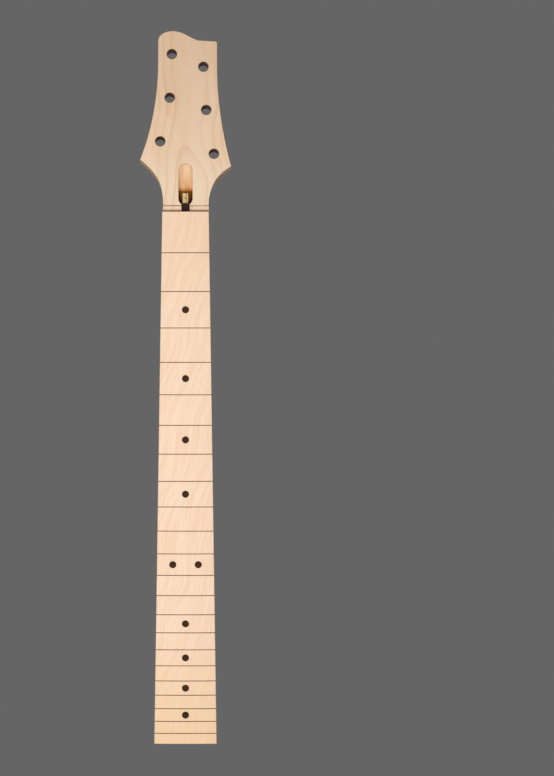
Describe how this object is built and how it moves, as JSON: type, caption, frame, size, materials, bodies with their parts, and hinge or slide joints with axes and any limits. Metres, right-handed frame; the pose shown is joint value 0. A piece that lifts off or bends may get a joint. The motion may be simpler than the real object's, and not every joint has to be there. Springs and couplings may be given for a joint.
{
  "type": "guitar neck",
  "caption": "Bolt-on electric guitar neck before fretting: maple blank with a tilted head, slotted maple fingerboard with dot inlays, and an adjustable truss rod.",
  "frame": {"origin": "centre of the four-screw pattern on the heel's flat back face", "axes": "+Z along the neck towards the head, +Y out of the heel's back face, so that the fingerboard faces -Y; +X is the treble side"},
  "size_m": [0.0812, 0.049, 0.6371],
  "materials": {
    "maple_neck": "bare sanded maple",
    "maple_board": "bare sanded maple",
    "dot_inlay": "dark brown, sanded flush",
    "side_dot": "black, sanded flush",
    "rod_steel": "plain steel",
    "rod_brass": "bright machined brass",
    "rod_sleeve": "black shrink sleeve"
  },
  "bodies": {
    "neck": {"neck_blank": "maple_neck", "fingerboard": "maple_board", "dot_3": "dot_inlay", "dot_5": "dot_inlay", "dot_7": "dot_inlay", "dot_9": "dot_inlay", "dot_12_bass": "dot_inlay", "dot_12_treble": "dot_inlay", "dot_15": "dot_inlay", "dot_17": "dot_inlay", "dot_19": "dot_inlay", "dot_21": "dot_inlay", "side_dot_3": "side_dot", "side_dot_5": "side_dot", "side_dot_7": "side_dot", "side_dot_9": "side_dot", "side_dot_12_upper": "side_dot", "side_dot_12_lower": "side_dot", "side_dot_15": "side_dot", "side_dot_17": "side_dot", "side_dot_19": "side_dot", "side_dot_21": "side_dot", "truss_rod_bar": "rod_steel", "truss_rod_front_block": "rod_brass", "truss_rod_rear_block": "rod_brass", "truss_rod_sleeve": "rod_sleeve"},
    "adjuster": {"truss_rod_screw": "rod_steel", "truss_rod_nut": "rod_brass"}
  },
  "joints": [
    {"name": "truss_rod_turn", "type": "hinge", "parent": "neck", "child": "adjuster", "pos_m": [0, -0.01275, 0.4396], "axis": [0, 0, 1], "range_deg": [-540, 540]}
  ]
}
